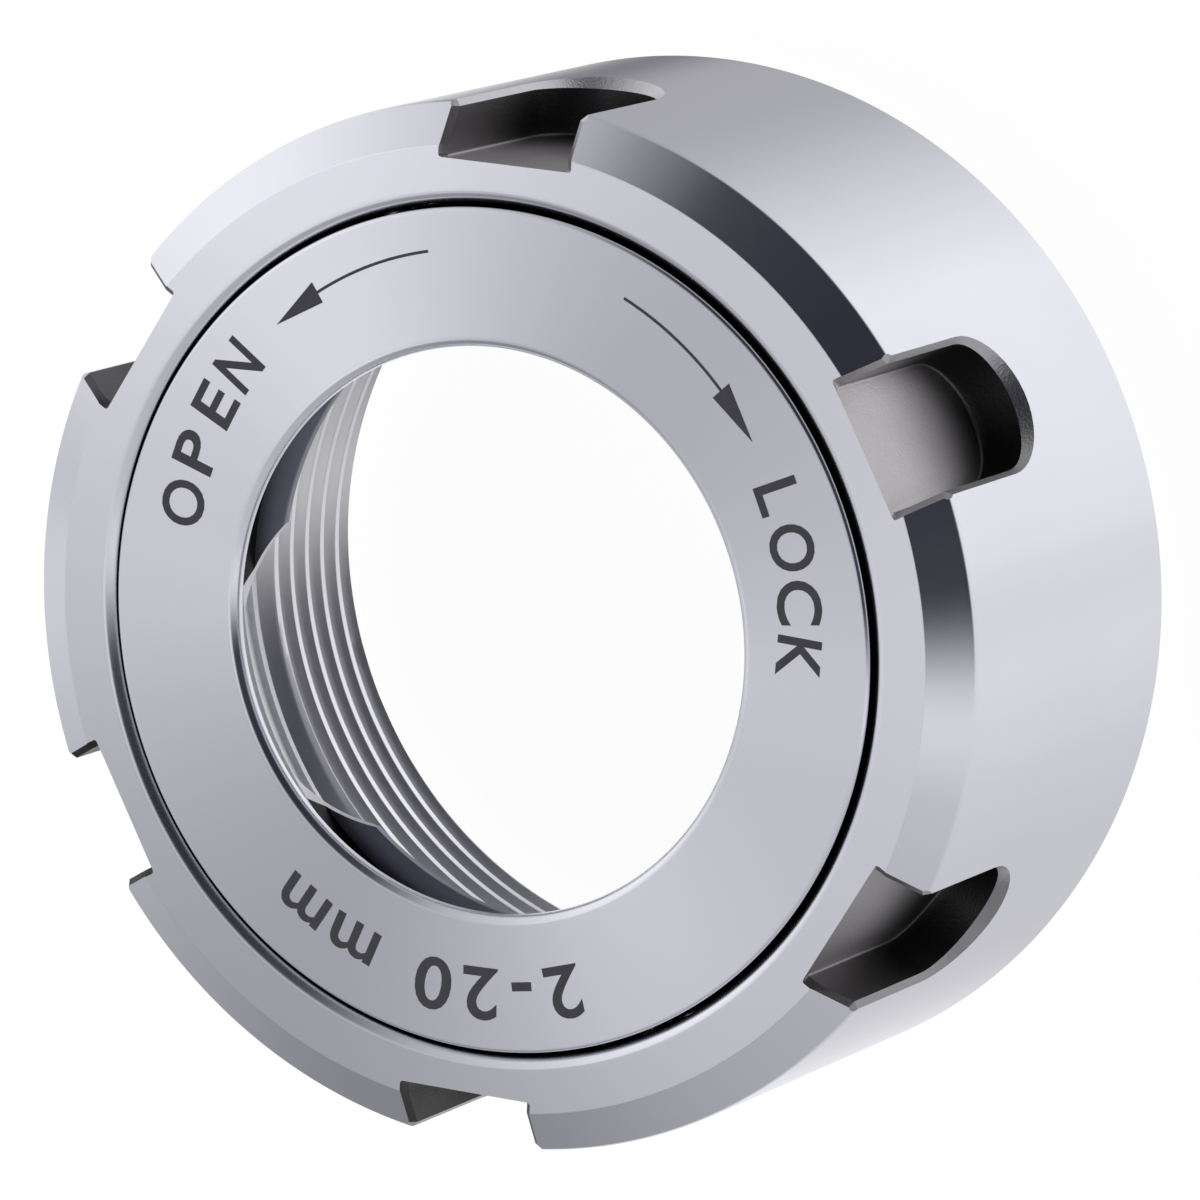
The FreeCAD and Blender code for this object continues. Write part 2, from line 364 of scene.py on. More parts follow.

# %% [markdown]
# ## The finishes
# The front faces and the outside are one steel, ground or turned; on the front faces a
# painted light rises towards one side. The bore, the step and the pocket are painted
# paler, as painted light, because little light reaches them and they would turn black.
# The gap and the wall behind the seat are painted nearly black and the lip dark, as
# painted shade. The slots are milled, so they have a grain and no rings; their dark tone
# is painted shade, a painted light rises towards one side, and painted shade darkens them
# towards their closed end. Their bevelled edges are painted darker, with painted light on
# one side.
# One recipe with named numbers keeps all of these finishes related.

# %% Mix the finishes
steel_color = (0.750, 0.750, 0.812)
# Painted shade in the slots: darker towards their closed end, and a little darker further out.
slot_painted_shade_fades = [("Height", (12.3, 20.2), (0.24, 1.0)), ("Reach", (22.3, 22.8), (1.0, 0.75))]
ground_finish = steel("ground_finish", steel_color, 0.16, smear=0.60)
# The nut's front face: its lean is a painted light that rises towards one side.
faced_finish = steel("faced_finish", steel_color, 0.31, smear=0.78, ring_depth=0.0004,
                     lean=(0.28, 50.0))
# The ring's front face: its lean is a painted light that rises towards one side.
ring_finish = steel("ring_finish", steel_color, 0.31, smear=0.93, ring_depth=0.0004,
                    lean=(0.15, 66.0))
# The nut's edge beside the gap: a painted shade darkens it towards the gap.
gap_edge_finish = steel("gap_edge_finish", steel_color, 0.20, smear=0.50,
                        fades=[("Reach", (20.30, 20.40), (0.30, 1.0))])
# The step inside the nut: painted paler than the steel, as painted light where little light
# reaches.
step_finish = steel("step_finish", (0.95, 0.95, 0.97), 0.50, smear=0.50, ring_scale=5000.0)
# The relief pocket: painted paler than the steel, as painted light where little light reaches.
pocket_finish = steel("pocket_finish", (0.88, 0.88, 0.90), 0.42, smear=0.50, ring_scale=5000.0)
# The bore and thread: painted paler than the steel as painted light, with a painted shade falling
# towards one side.
bore_finish = steel("bore_finish", (0.90, 0.90, 0.92), 0.32, smear=0.50, ring_scale=5000.0,
                    lean=(-0.20, 120.0))
# The lip inside the ring: painted dark, a painted shade and dark reflection.
lip_finish = steel("lip_finish", (0.30, 0.30, 0.35), 0.45, smear=0.30, ring_scale=5000.0,
                   ring_depth=0.002)
# The gap and the wall behind the seat: painted near black, as painted shade.
recess_finish = steel("recess_finish", (0.010, 0.010, 0.013), 0.40, smear=0.30,
                      ring_scale=5000.0, ring_depth=0.002)
# The milled slots: a real grain, with a dark tone as painted shade, a painted light towards one
# side, and the painted shade of the fades.
milled_finish = steel("milled_finish", (0.295, 0.282, 0.290), 0.42, ring_depth=0.0,
                      grain_depth=0.02, lean=(0.95, 10.0), fades=slot_painted_shade_fades)
# The bevels at the slots' edges: painted darker as painted shade, with a painted light rising
# towards one side.
edge_finish = steel("edge_finish", (0.42, 0.42, 0.44), 0.32, ring_depth=0.0, grain_depth=0.02,
                    lean=(0.35, 100.0))
ball_finish = steel("ball_finish", (0.30, 0.30, 0.32), 0.12, ring_depth=0.0)
print("materials", len(bpy.data.materials), "nodes in one", len(ball_finish.node_tree.nodes))

# %% [markdown]
# ## A lathe made of nodes
# A turned part is a flat outline swept once round an axis. The Screw modifier or Spin
# could do it, but a small node tree is clearer and can be fed again and again. It lays
# out a grid, sends each grid point to the outline point with the same number, swings it
# round the axis, and welds the seam. A pitch makes it climb as it turns, for a thread.

# %% Helpers for geometry node trees
def new_tree(name, inputs):
    """A geometry node tree with named inputs of (name, kind, default), and its two ends."""
    tree = bpy.data.node_groups.new(name, "GeometryNodeTree")
    for label, kind, default in inputs:
        socket = tree.interface.new_socket(label, in_out="INPUT", socket_type="NodeSocket" + kind)
        if default is not None:
            socket.default_value = default
    tree.interface.new_socket("Geometry", in_out="OUTPUT", socket_type="NodeSocketGeometry")
    start = tree.nodes.new("NodeGroupInput")
    end = tree.nodes.new("NodeGroupOutput")
    return tree, start.outputs, end


def run_tree(tree, source, values):
    """The plain mesh that a tree makes of a source mesh, with its named inputs set."""
    holder = bpy.data.objects.new("work_" + tree.name, source)
    bpy.context.scene.collection.objects.link(holder)
    modifier = holder.modifiers.new(tree.name, "NODES")
    modifier.node_group = tree
    for item in tree.interface.items_tree:
        if item.in_out == "INPUT" and item.name in values:
            modifier[item.identifier] = values[item.name]
    depsgraph = bpy.context.evaluated_depsgraph_get()
    result = bpy.data.meshes.new_from_object(holder.evaluated_get(depsgraph))
    holder.modifiers.remove(modifier)
    bpy.data.objects.remove(holder)
    while None in list(result.materials):
        result.materials.pop(index=list(result.materials).index(None))
    return result


print("node groups so far", len(bpy.data.node_groups))

# %% The lathe tree
weld = 1e-4


def lathe_tree():
    """Sweeps an outline of (radius, 0, height) points round Z, climbing a pitch each turn."""
    tree, given, end = new_tree("lathe", [
        ("Geometry", "Geometry", None), ("Steps", "Int", 360), ("Steps Per Turn", "Int", 360),
        ("Pitch", "Float", 0.0), ("Finish", "Material", None)])
    outline = given["Geometry"]
    size = add(tree, "GeometryNodeAttributeDomainSize", {"Geometry": outline})
    count = size.outputs["Point Count"]
    columns = math_node(tree, "ADD", given["Steps"], 1.0)
    rows = math_node(tree, "ADD", count, 1.0)
    grid = add(tree, "GeometryNodeMeshGrid", {"Vertices X": columns, "Vertices Y": rows})
    number = add(tree, "GeometryNodeInputIndex").outputs[0]
    row = math_node(tree, "MODULO", math_node(tree, "MODULO", number, rows), count)
    column = math_node(tree, "FLOOR", math_node(tree, "DIVIDE", number, rows))
    step = math_node(tree, "DIVIDE", 2 * math.pi, given["Steps Per Turn"])
    rise = math_node(tree, "DIVIDE", given["Pitch"], given["Steps Per Turn"])
    place = add(tree, "GeometryNodeInputPosition").outputs[0]
    corner = add(tree, "GeometryNodeSampleIndex", {
        "Geometry": outline, "Value": place, "Index": row}, data_type="FLOAT_VECTOR")
    swung = add(tree, "ShaderNodeVectorRotate", {
        "Vector": corner.outputs["Value"], "Angle": math_node(tree, "MULTIPLY", column, step)},
        rotation_type="Z_AXIS")
    climb = add(tree, "ShaderNodeCombineXYZ", {"Z": math_node(tree, "MULTIPLY", column, rise)})
    placed = add(tree, "GeometryNodeSetPosition", {
        "Geometry": grid.outputs["Mesh"], "Position": swung.outputs[0],
        "Offset": climb.outputs[0]}).outputs[0]
    welded = add(tree, "GeometryNodeMergeByDistance", {"Geometry": placed, "Distance": weld})
    real = add(tree, "GeometryNodeRealizeInstances", {"Geometry": welded.outputs[0]}).outputs[0]
    dressed = add(tree, "GeometryNodeSetMaterial", {"Geometry": real, "Material": given["Finish"]})
    tree.links.new(dressed.outputs[0], end.inputs[0])
    return tree


lathe = lathe_tree()
print("lathe nodes", len(lathe.nodes))

# %% [markdown]
# ## Outlines with broken edges
# No turned part has a perfectly sharp edge. A tiny round on each corner catches a thin
# line of light, and that line is what makes steel read as solid. The outline is given
# by its corners, each with its own rounding. Next to a rounding, one more point holds
# the flat face flat, or smooth shading would bend it.

# %% Helpers for outlines
def rounded(corners, parts=5, guard=0.03):
    """A closed outline of (radius, height) points from (radius, height, rounding) corners."""
    points = []
    for index, (across, up, rounding) in enumerate(corners):
        here = Vector((across, up))
        if rounding == 0:
            points.append(here)
            continue
        before = Vector(corners[index - 1][:2]) - here
        after = Vector(corners[(index + 1) % len(corners)][:2]) - here
        half = before.angle(after) / 2
        before.normalize()
        after.normalize()
        run = rounding / math.tan(half)
        centre = here + (before + after).normalized() * rounding / math.sin(half)
        first, last = here + before * run, here + after * run
        points.append(first + before * guard)
        for part in range(parts + 1):
            spoke = (first - centre).slerp(last - centre, part / parts)
            points.append(centre + spoke.normalized() * rounding)
        points.append(last + after * guard)
    return points


def polar(angle, radius, centre=(0.0, 0.0)):
    """The point at an angle in degrees and a radius from a centre."""
    turn = math.radians(angle)
    return centre[0] + radius * math.cos(turn), centre[1] + radius * math.sin(turn)


def arc(centre, radius, start, stop, parts):
    """Points along an arc, its angles in degrees."""
    angles = [start + (stop - start) * part / parts for part in range(parts + 1)]
    return [Vector(polar(angle, radius, centre)) for angle in angles]


def swept(points, steps, steps_per_turn, pitch, finish):
    """A mesh off the lathe in millimetres, from an outline of (radius, height) points."""
    outline = bpy.data.meshes.new("outline")
    outline.from_pydata([(point[0], 0.0, point[1]) for point in points], [], [])
    return run_tree(lathe, outline, {
        "Steps": steps, "Steps Per Turn": steps_per_turn, "Pitch": pitch, "Finish": finish})


def faced_outwards(mesh):
    """The same mesh with its open ends closed and every face turned to the outside."""
    work = bmesh.new()
    work.from_mesh(mesh)
    bmesh.ops.holes_fill(work, edges=[edge for edge in work.edges if edge.is_boundary])
    bmesh.ops.recalc_face_normals(work, faces=work.faces)
    work.to_mesh(mesh)
    work.free()
    return mesh


def turned(points, steps, finish):
    """A solid that is swept once round the axis, with its faces pointing outwards."""
    return faced_outwards(swept(points, steps, steps, 0.0, finish))


corner_points = rounded([(2, 1, 0.1), (1, 1, 0), (1, 0, 0)])
print("points on one rounded corner", len(corner_points) - 2)

# %% [markdown]
# ## The nut's blank
# The blank is one outline: a chamfer and a small round at the front rim, a short bevel
# where the ring drops in, half of the ball groove, the step down to the thread, and a
# lead-in at the back. It could be traced as a curve, but a list of corners reads like
# the dimensions on a drawing. The slots aren't round the axis, so they aren't in it.

# %% List the blank's sizes in millimetres
front_chamfer_across = 2.0
front_chamfer_down = 1.2
rear_chamfer = 0.9
rim_wall = 4.7
ring_bore_edge = 0.4
thread_radius = 20.0
thread_lead_in = 0.8
thread_top = 9.9
groove_clearance = 0.05
groove_parts = 14
lathe_steps = 480

groove_radius = ball_radius + groove_clearance
ring_bore_radius = nut_radius - rim_wall
ball_middle = Vector(((ball_low[0] + ball_high[0]) / 2, (ball_low[1] + ball_high[1]) / 2))
pitch_radius = ball_middle.length / MM
print("balls' circle", round(pitch_radius, 3), "groove radius", round(groove_radius, 3))


# %% Turn the nut's blank
def groove(wall_radius, side):
    """The part of the ball groove that is cut into a wall, its points going down."""
    lean = math.degrees(math.acos((wall_radius - pitch_radius) * side / groove_radius))
    middle = 0 if side > 0 else 180
    start, stop = (middle + lean, middle - lean) if side > 0 else (middle - lean, middle + lean)
    points = arc((pitch_radius, race_height), groove_radius, start, stop, groove_parts)
    return [(point[0], point[1], 0) for point in points]


body_outline = rounded([
    (nut_radius, nut_height - front_chamfer_down, 0.44),
    (nut_radius - front_chamfer_across, nut_height, 0.12),
    (ring_bore_radius + ring_bore_edge, nut_height, 0.60),
    (ring_bore_radius, nut_height - ring_bore_edge, 0.08),
    *groove(ring_bore_radius, 1),
    (ring_bore_radius, thread_top, 0),
    (thread_radius, thread_top, 0),
    (thread_radius, thread_lead_in, 0),
    (thread_radius + thread_lead_in, 0, 0.06),
    (nut_radius - rear_chamfer, 0, 0.10),
    (nut_radius, rear_chamfer, 0.15),
])
body = turned(body_outline, lathe_steps, ground_finish)
print("outline points", len(body_outline), "faces", len(body.polygons))

# %% [markdown]
# ## A finish for each turned face
# One turned piece shows several finishes: ground outside, faced in front, painted light on
# the step and painted shade in the gap. On a part that is round about an axis, a face is
# told apart by how far out and how high it lies, so a short rule of reach and height picks
# its finish.

# %% Give the blank its finishes
face_tolerance = 0.01
edge_bottom = nut_height - ring_bore_edge
groove_bottom = race_height - groove_radius


def give_finishes(mesh, finishes, finish_at):
    """Adds finishes to a turned mesh, and gives each face the one for its reach and height."""
    for finish in finishes:
        mesh.materials.append(finish)
    for face in mesh.polygons:
        finish = finish_at(Vector(face.center[:2]).length, face.center[2])
        face.material_index = mesh.materials.find(finish.name)
    print("finishes given", [finish.name for finish in mesh.materials])


def body_finish(reach, height):
    """The finish of the nut's face at a reach and a height."""
    if reach < ring_bore_radius + face_tolerance and height < groove_bottom:
        return step_finish
    if height > nut_height - face_tolerance:
        return faced_finish
    if reach < ring_bore_radius + groove_radius and groove_bottom < height < edge_bottom:
        return recess_finish
    if reach < ring_bore_radius + 2 * ring_bore_edge and height > edge_bottom:
        return gap_edge_finish
    return ground_finish


give_finishes(body, (step_finish, faced_finish, recess_finish, gap_edge_finish), body_finish)

# %% [markdown]
# ## Milling the six slots
# An end mill that points at the axis cuts each slot, so its closed end is round and its
# floor is flat, with the mill's small corner radius along the foot of the wall. Then
# every edge is broken with a small bevel. Beveling the edges after the boolean would be
# fragile, so the cutter itself flares: it is a loft of U shapes, station by station
# outwards, and each is wider where it meets an edge of the nut. A node tree sets six of
# it round the axis and takes them out. It ends in the boolean, because that gives each
# face the finish of the blank or of the cutter, and a Set Material would wipe both.

# %% List the slot's sizes in millimetres
slot_count = 6
slot_width = 6.4
slot_length = 11.4
slot_depth = 2.8
slot_foot = 0.15
edge_break = 0.32
round_parts = 20
foot_parts = 4
cutter_overrun = 1.5

slot_floor = nut_radius - slot_depth
slot_half = slot_width / 2
rim_x = math.sqrt(nut_radius ** 2 - slot_half ** 2)
front_x = math.sqrt((nut_radius - front_chamfer_across) ** 2 - slot_half ** 2)
print("slot walls end", round(front_x, 3), "to", round(rim_x, 3), "from the axis")


# %% Loft the slot cutter
def front_height(x):
    """How high the nut's metal stands beside the slot, at a distance x from the axis."""
    slope = front_chamfer_down / (rim_x - front_x)
    return nut_height - max(0.0, x - front_x) * slope


def slot_station(x, widen):
    """One U of the cutter at a distance x, from its top left round to its top right."""
    half = slot_half + widen
    flare_start = front_height(x) - edge_break
    top = nut_height + cutter_overrun
    centre = nut_height - slot_length + slot_half
    side = [(half + top - flare_start, top), (half, flare_start)]
    left = [Vector((x, -across, up)) for across, up in side]
    right = [Vector((x, across, up)) for across, up in reversed(side)]
    turn = [math.pi * part / round_parts for part in range(round_parts + 1)]
    foot = [Vector((x, -half * math.cos(angle), centre - half * math.sin(angle))) for angle in turn]
    return left + foot + right


def slot_cutter():
    """The closed solid that one slot takes away, in millimetres."""
    stations = []
    for part in range(foot_parts + 1):
        angle = math.pi / 2 * part / foot_parts
        x = slot_floor + slot_foot * (1 - math.cos(angle))
        stations.append(slot_station(x, -slot_foot * (1 - math.sin(angle))))
    for x in (front_x, (front_x + rim_x) / 2, rim_x - edge_break):
        stations.append(slot_station(x, 0.0))
    stations.append(slot_station(rim_x - edge_break + cutter_overrun, cutter_overrun))
    size = len(stations[0])
    points = [point for station in stations for point in station]
    faces = []
    for level in range(len(stations) - 1):
        for index in range(size):
            low, high = level * size + index, level * size + (index + 1) % size
            faces.append((low, high, high + size, low + size))
    flare_start = len(faces) - size
    flare_stop = len(faces)
    last = len(points) - size
    faces.append(tuple(range(size - 1, -1, -1)))
    faces.append(tuple(range(last, last + size)))
    made = bpy.data.meshes.new("slot_cutter")
    made.from_pydata(points, [], faces)
    made.materials.append(milled_finish)
    made.materials.append(edge_finish)
    for face in made.polygons[flare_start:flare_stop]:
        face.material_index = 1
    return faced_outwards(made)


cutter_holder = bpy.data.objects.new("work_slot_cutter", slot_cutter())
bpy.context.scene.collection.objects.link(cutter_holder)
print("slot cutter faces", len(cutter_holder.data.polygons))


# %% The slot tree
def slots_tree():
    """Sets copies of a cutter round Z and takes them all out of the blank."""
    tree, given, end = new_tree("slots", [
        ("Geometry", "Geometry", None), ("Cutter", "Object", None), ("Count", "Int", 6)])
    tool = add(tree, "GeometryNodeObjectInfo", {"Object": given["Cutter"]}).outputs["Geometry"]
    places = add(tree, "GeometryNodePoints", {"Count": given["Count"]}).outputs[0]
    number = add(tree, "GeometryNodeInputIndex").outputs[0]
    step = math_node(tree, "DIVIDE", 2 * math.pi, given["Count"])
    turn = add(tree, "ShaderNodeCombineXYZ", {"Z": math_node(tree, "MULTIPLY", number, step)})
    copies = add(tree, "GeometryNodeInstanceOnPoints", {
        "Points": places, "Instance": tool, "Rotation": turn.outputs[0]}).outputs[0]
    tools = add(tree, "GeometryNodeRealizeInstances", {"Geometry": copies}).outputs[0]
    milled = add(tree, "GeometryNodeMeshBoolean", {
        "Mesh 1": given["Geometry"], "Mesh 2": tools}, operation="DIFFERENCE", solver="EXACT")
    tree.links.new(milled.outputs["Mesh"], end.inputs[0])
    return tree


slots = slots_tree()
print("slot nodes", len(slots.nodes))

# %% Mill the slots
body = run_tree(slots, body, {"Cutter": cutter_holder, "Count": slot_count})
bpy.data.objects.remove(cutter_holder)
print("milled faces", len(body.polygons), "materials", [made.name for made in body.materials])

# %% [markdown]
# ## Cutting one solid with another
# Holes that aren't on the axis are drilled after turning. A boolean is the plain way:
# the cutter is a solid too, and keeps its own finish on the faces that it leaves. A
# piece that is done is scaled to metres, shaded smooth up to its real edges, and told
# which body of the frame it rides on and which solids it stands for.

# %% A helper for cuts
solver = "EXACT"


def cut(mesh, cutter, operation="DIFFERENCE"):
    """The mesh after a cutter mesh has been taken away from it, or kept in common."""
    blank = bpy.data.objects.new("work_blank", mesh)
    tool = bpy.data.objects.new("work_tool", cutter)
    for work in (blank, tool):
        bpy.context.scene.collection.objects.link(work)
    for finish in cutter.materials:
        if finish.name not in mesh.materials:
            mesh.materials.append(finish)
    modifier = blank.modifiers.new("cut", "BOOLEAN")
    modifier.operation = operation
    modifier.solver = solver
    modifier.material_mode = "TRANSFER"
    modifier.object = tool
    depsgraph = bpy.context.evaluated_depsgraph_get()
    result = bpy.data.meshes.new_from_object(blank.evaluated_get(depsgraph))
    bpy.data.objects.remove(blank)
    bpy.data.objects.remove(tool)
    return result


print("cuts use the solver", solver)

# %% A helper for finished pieces
sharp_angle = 24


def place_piece(name, mesh, body_name, replaced=()):
    """Puts a finished mesh into the scene as a piece of one body, in metres."""
    mesh.name = name
    mesh.transform(Matrix.Scale(MM, 4))
    mesh.shade_smooth()
    mesh.set_sharp_from_angle(angle=math.radians(sharp_angle))
    piece = bpy.data.objects.new(name, mesh)
    bpy.context.scene.collection.objects.link(piece)
    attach(piece, body_name)
    if replaced:
        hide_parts(*replaced)
    triangles = sum(len(face.vertices) - 2 for face in mesh.polygons)
    print(name, "triangles", triangles, "materials", [made.name for made in mesh.materials])


print("edges stay sharp from", sharp_angle, "degrees")

# %% [markdown]
# ## The loading hole and its plug
# The balls go in one by one through a hole in the rim. A plug closes it and is ground
# flush with the outside, so that only a hairline circle shows. A plain short cylinder
# would stand proud of the round wall, so the plug is the part that a slightly thinner
# drill has in common with the same wall and the same groove.

# %% Drill the hole and fit the plug
plug_direction = 150.0
ball_clearance = 0.35
plug_gap = 0.015
plug_sides = 64
plug_radius = ball_radius + ball_clearance


def cylinder(radius, length, sides, finish):
    """A closed cylinder that stands on the origin and points up, in millimetres."""
    return turned([(0.0, 0.0), (radius, 0.0), (radius, length), (0.0, length)], sides, finish)


def across_the_rim(radius):
    """A cylinder that lies on the loading hole's axis, from the groove outwards."""
    made = cylinder(radius, nut_radius, plug_sides, ground_finish)
    made.transform(Matrix.Rotation(math.pi / 2, 4, "Y"))
    made.transform(Matrix.Translation((pitch_radius, 0, race_height)))
    made.transform(Matrix.Rotation(math.radians(plug_direction), 4, "Z"))
    return made


body = cut(body, across_the_rim(plug_radius))
wall_top = race_height + 2 * plug_radius
wall_bottom = race_height - 2 * plug_radius
wall = turned(rounded([
    (nut_radius, wall_top, 0),
    (ring_bore_radius, wall_top, 0),
    *groove(ring_bore_radius, 1),
    (ring_bore_radius, wall_bottom, 0),
    (nut_radius, wall_bottom, 0),
]), lathe_steps, ground_finish)
plug = cut(wall, across_the_rim(plug_radius - plug_gap), "INTERSECT")
place_piece("collet_nut_body", body, "nut", ["nut_body"])
place_piece("ball_filler_plug", plug, "nut", ["filler_plug"])

# %% [markdown]
# ## Cutting the thread
# A screw is cut on the same lathe, with the tool fed along while the work turns. So the
# same tree makes it, with more than one turn and a pitch by which each turn climbs. A
# bump in a material would look flat from the side, and the thread is seen from there.
# The 60 degree ridge stands in from the bore to the thread's inner diameter. Bevels trim
# it at both ends: at the back they let the spindle start, and at the front the first
# ridge is bevelled away just below the step.

# %% List the thread's sizes in millimetres
thread_pitch = 1.5
thread_depth = 0.81
crest_half = thread_pitch / 8
root_half = thread_pitch / 2 * 7 / 8
root_sink = 0.04
ridge_top = 9.75
thread_turns = 7.4
thread_start = -0.85
steps_per_turn = 240
print("thread inner radius", round(thread_radius - thread_depth, 3), "turns", thread_turns)


# %% Cut the thread
def trimmed(reach, height):
    """The radius of a point of the ridge once the bevels at the thread's ends have cut it."""
    rear = thread_radius + thread_lead_in - height
    front = thread_radius + 2 * root_sink - (ridge_top - height)
    if rear > thread_radius:
        return rear + root_sink
    return max(reach, rear, front)


ridge = rounded([
    (thread_radius + root_sink, -root_half, 0),
    (thread_radius, -root_half, 0),
    (thread_radius - thread_depth, -crest_half, 0.07),
    (thread_radius - thread_depth, crest_half, 0.07),
    (thread_radius, root_half, 0),
    (thread_radius + root_sink, root_half, 0),
], parts=3, guard=0.02)
thread_steps = round(thread_turns * steps_per_turn) - 1
thread = swept(ridge, thread_steps, steps_per_turn, thread_pitch, bore_finish)
thread.transform(Matrix.Translation((0, 0, thread_start)))
for point in thread.vertices:
    point.co.z = min(max(point.co.z, root_sink), ridge_top - root_sink)
    spoke = Vector(point.co[:2])
    point.co.xy = spoke.normalized() * trimmed(spoke.length, point.co.z)
place_piece("spindle_thread", faced_outwards(thread), "nut")

# %% [markdown]
# ## The front ring
# The ring holds the collet. Behind its rounded throat a cone opens at 30 degrees, where
# the collet's nose is pressed. Behind the cone a thin lip stands in: it hooks the
# collet's groove and pulls the collet out when the nut is undone. All that is one more
# outline for the lathe. A leaning round pocket opens the lip on one side, so that a
# collet can be tipped in. A mill held aslant would cut it, and so does a sheared cylinder.

# %% List the ring's sizes in millimetres
face_sink = 0.02
ring_face_width = 6.6
throat_rounding = 0.5
throat_parts = 16
seat_half_angle = 30.0
seat_mouth_wall = 3.15
lip_depth = 7.7
lip_reach = 1.45
lip_land = 0.4
lip_back = 0.6
ring_edge = 0.2

ring_face = nut_height - face_sink
throat_radius = ring_radius - ring_face_width
mouth_radius = ring_radius - seat_mouth_wall
lip_radius = mouth_radius - lip_reach
lip_top = nut_height - lip_depth
print("radii", [round(radius, 3) for radius in (throat_radius, mouth_radius, lip_radius)])

# %% Turn the ring
face_guard = 0.05
wall_tolerance = 0.05
throat_centre = (throat_radius + throat_rounding, ring_face - throat_rounding)
throat = arc(throat_centre, throat_rounding, 90, 180 + seat_half_angle, throat_parts)
seat_run = (mouth_radius - throat[-1][0]) / math.tan(math.radians(seat_half_angle))
back_bevel = min(lip_back, lip_top - lip_land - ring_back)

ring = turned(rounded([
    (throat_centre[0] + face_guard, ring_face, 0),
    *[(point[0], point[1], 0) for point in throat],
    (mouth_radius, throat[-1][1] - seat_run, 0),
    (mouth_radius, lip_top, 0),
    (lip_radius, lip_top, 0.06),
    (lip_radius, lip_top - lip_land, 0.06),
    (lip_radius + back_bevel, ring_back, 0.08),
    (ring_radius, ring_back, ring_edge),
    *reversed(groove(ring_radius, -1)),
    (ring_radius, ring_face, ring_edge),
]), lathe_steps, ring_finish)


def ring_part_finish(reach, height):
    """The finish of the ring's face at a reach and a height."""
    inside_wall = abs(reach - mouth_radius) < wall_tolerance
    outside_wall = reach > pitch_radius - groove_radius - wall_tolerance
    if inside_wall and lip_top < height < ring_face - face_tolerance:
        return recess_finish
    if outside_wall and ring_back + ring_edge < height < ring_face - ring_edge:
        return recess_finish
    if reach < mouth_radius and height < lip_top + wall_tolerance:
        return lip_finish
    if height < ring_face - face_tolerance:
        return ground_finish
    return ring_finish


ring_finishes = (ground_finish, lip_finish, recess_finish, pocket_finish)
give_finishes(ring, ring_finishes, ring_part_finish)
print("ring faces", len(ring.polygons))

# %% Cut the relief pocket
relief_direction = 171.9
relief_radius = 8.55
relief_lean = math.radians(20.2)
relief_depth = 6.35
relief_from_lip = 8.96
relief_sides = 240
relief_centre = lip_radius - relief_from_lip


def relief_cutter():
    """The leaning pocket: a cylinder sheared over, with its flat top at the pocket's depth."""
    made = cylinder(relief_radius, nut_height, relief_sides, pocket_finish)
    for point in made.vertices:
        level = -point.co.z - relief_depth
        middle = relief_centre - level * math.tan(relief_lean)
        point.co.x = middle + point.co.x / math.cos(relief_lean)
        point.co.z = nut_height + level
    made.transform(Matrix.Rotation(math.radians(relief_direction), 4, "Z"))
    return faced_outwards(made)


ring = cut(ring, relief_cutter())
place_piece("floating_front_ring", ring, "ring", ["pressure_ring"])

# %% [markdown]
# ## The balls
# A full circle of balls fills the groove, with no cage. One sphere set on each point of
# a circle says that in four nodes, and the count is a named input.

# %% The ball tree
ball_segments, ball_rings = 28, 18


def balls_tree():
    """Sets a sphere at each of a number of places round Z."""
    tree, given, end = new_tree("balls", [
        ("Geometry", "Geometry", None), ("Count", "Int", 50), ("Circle Radius", "Float", 20.0),
        ("Height", "Float", 0.0), ("Ball Radius", "Float", 1.0), ("Finish", "Material", None)])
    circle = add(tree, "GeometryNodeMeshCircle", {
        "Vertices": given["Count"], "Radius": given["Circle Radius"]}).outputs[0]
    sphere = add(tree, "GeometryNodeMeshUVSphere", {
        "Segments": ball_segments, "Rings": ball_rings, "Radius": given["Ball Radius"]})
    copies = add(tree, "GeometryNodeInstanceOnPoints", {
        "Points": circle, "Instance": sphere.outputs["Mesh"]}).outputs[0]
    half_step = math_node(tree, "DIVIDE", math.pi, given["Count"])
    turn = add(tree, "ShaderNodeCombineXYZ", {"Z": half_step}).outputs[0]
    lift = add(tree, "ShaderNodeCombineXYZ", {"Z": given["Height"]}).outputs[0]
    placed = add(tree, "GeometryNodeTransform", {
        "Geometry": copies, "Translation": lift, "Rotation": turn}).outputs[0]
    real = add(tree, "GeometryNodeRealizeInstances", {"Geometry": placed}).outputs[0]
    dressed = add(tree, "GeometryNodeSetMaterial", {"Geometry": real, "Material": given["Finish"]})
    tree.links.new(dressed.outputs[0], end.inputs[0])
    return tree


circle_of_balls = balls_tree()
print("ball nodes", len(circle_of_balls.nodes))

# %% Set the balls
balls = run_tree(circle_of_balls, bpy.data.meshes.new("no_points"), {
    "Count": len(ball_nodes), "Circle Radius": pitch_radius, "Height": race_height,
    "Ball Radius": ball_radius, "Finish": ball_finish})
place_piece("bearing_balls", balls, "balls", ball_nodes)

# %% [markdown]
# ## Marks on the ring
# The words and arrows say which way the nut opens. They were set round a point a little
# off the axis, so the upper marks sit nearer the rim than the others. Below stands the
# range of shank diameters that the collets hold. An image on the face would blur close
# up, so each mark is a thin flat slab: its foot is sunk in the ring, and its top rises a
# hair above the face, below the nut's full height.

